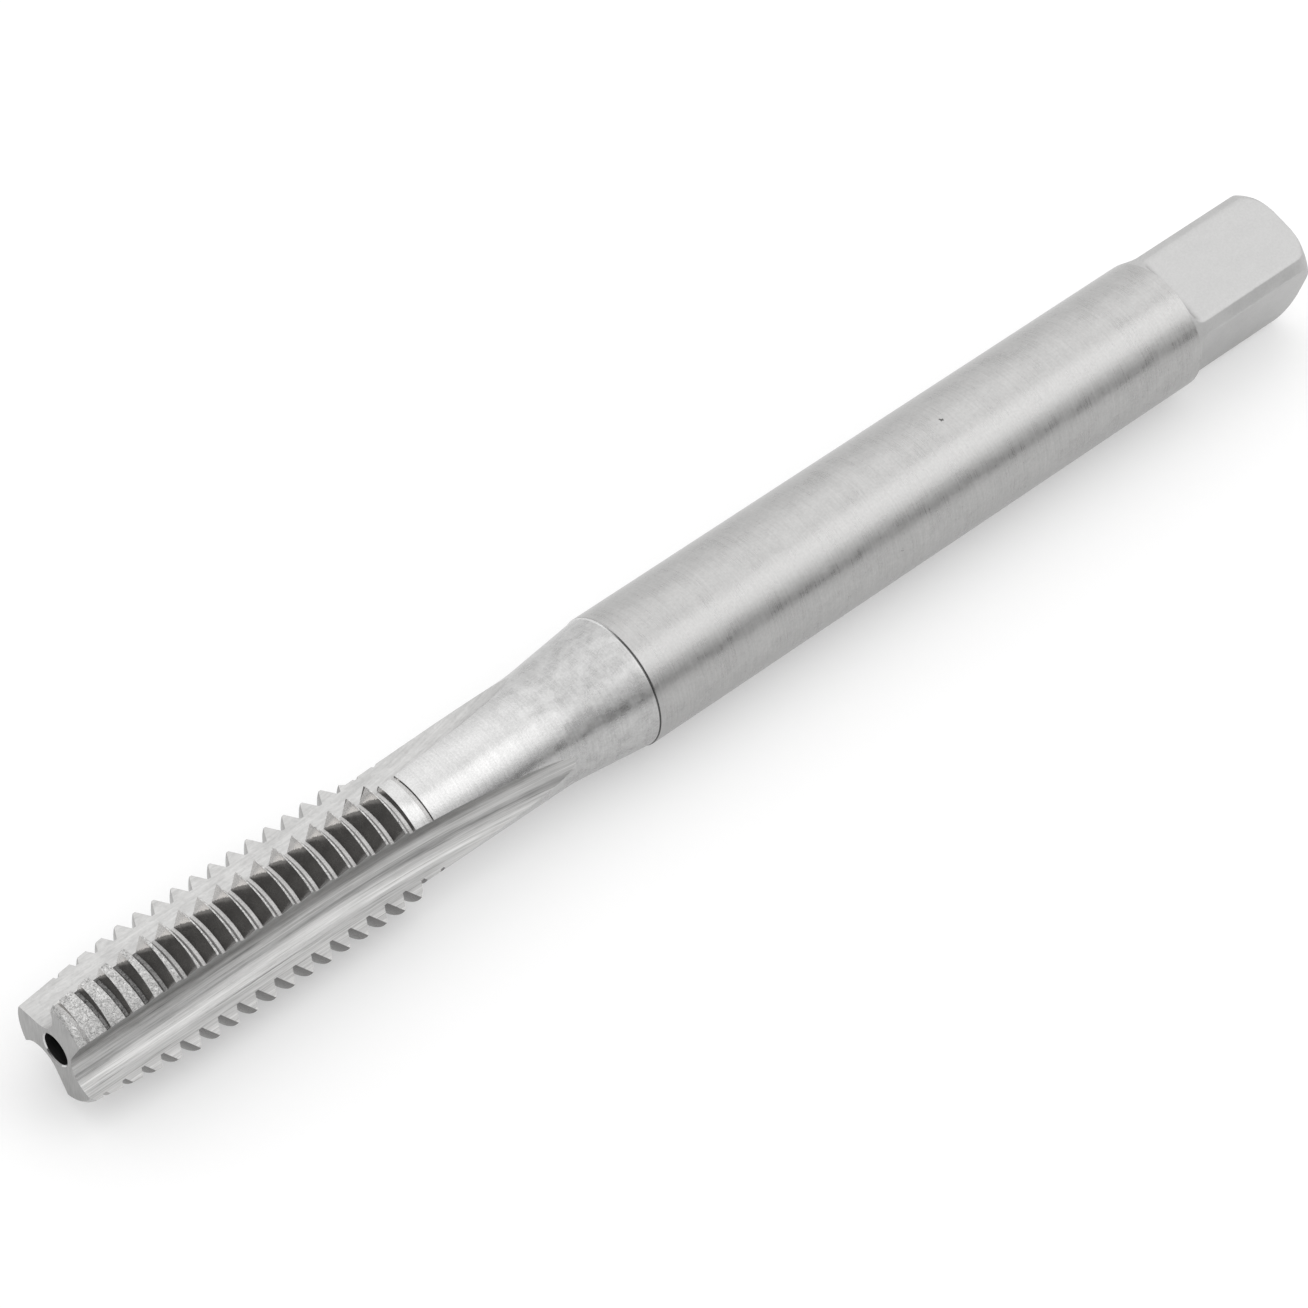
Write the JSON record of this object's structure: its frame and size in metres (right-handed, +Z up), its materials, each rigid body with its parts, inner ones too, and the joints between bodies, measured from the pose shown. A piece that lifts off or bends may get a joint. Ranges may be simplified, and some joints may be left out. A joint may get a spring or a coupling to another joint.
{
  "type": "thread tap",
  "caption": "Straight-flute machine tap that cuts coarse metric internal threads, with a long tapered lead, slim neck, round shank and driving square.",
  "frame": {"origin": "centre of the bottom of the tool's box, on the surface that it lies on", "axes": "+X along the tool's axis from the cutting tip to the driving square, +Z up"},
  "size_m": [0.09, 0.008, 0.0081],
  "materials": {
    "steel": "ground high speed steel, satin shank and neck, bright flutes, matte driving flats"
  },
  "bodies": {
    "root": {"thread_tap": "steel"}
  },
  "joints": []
}
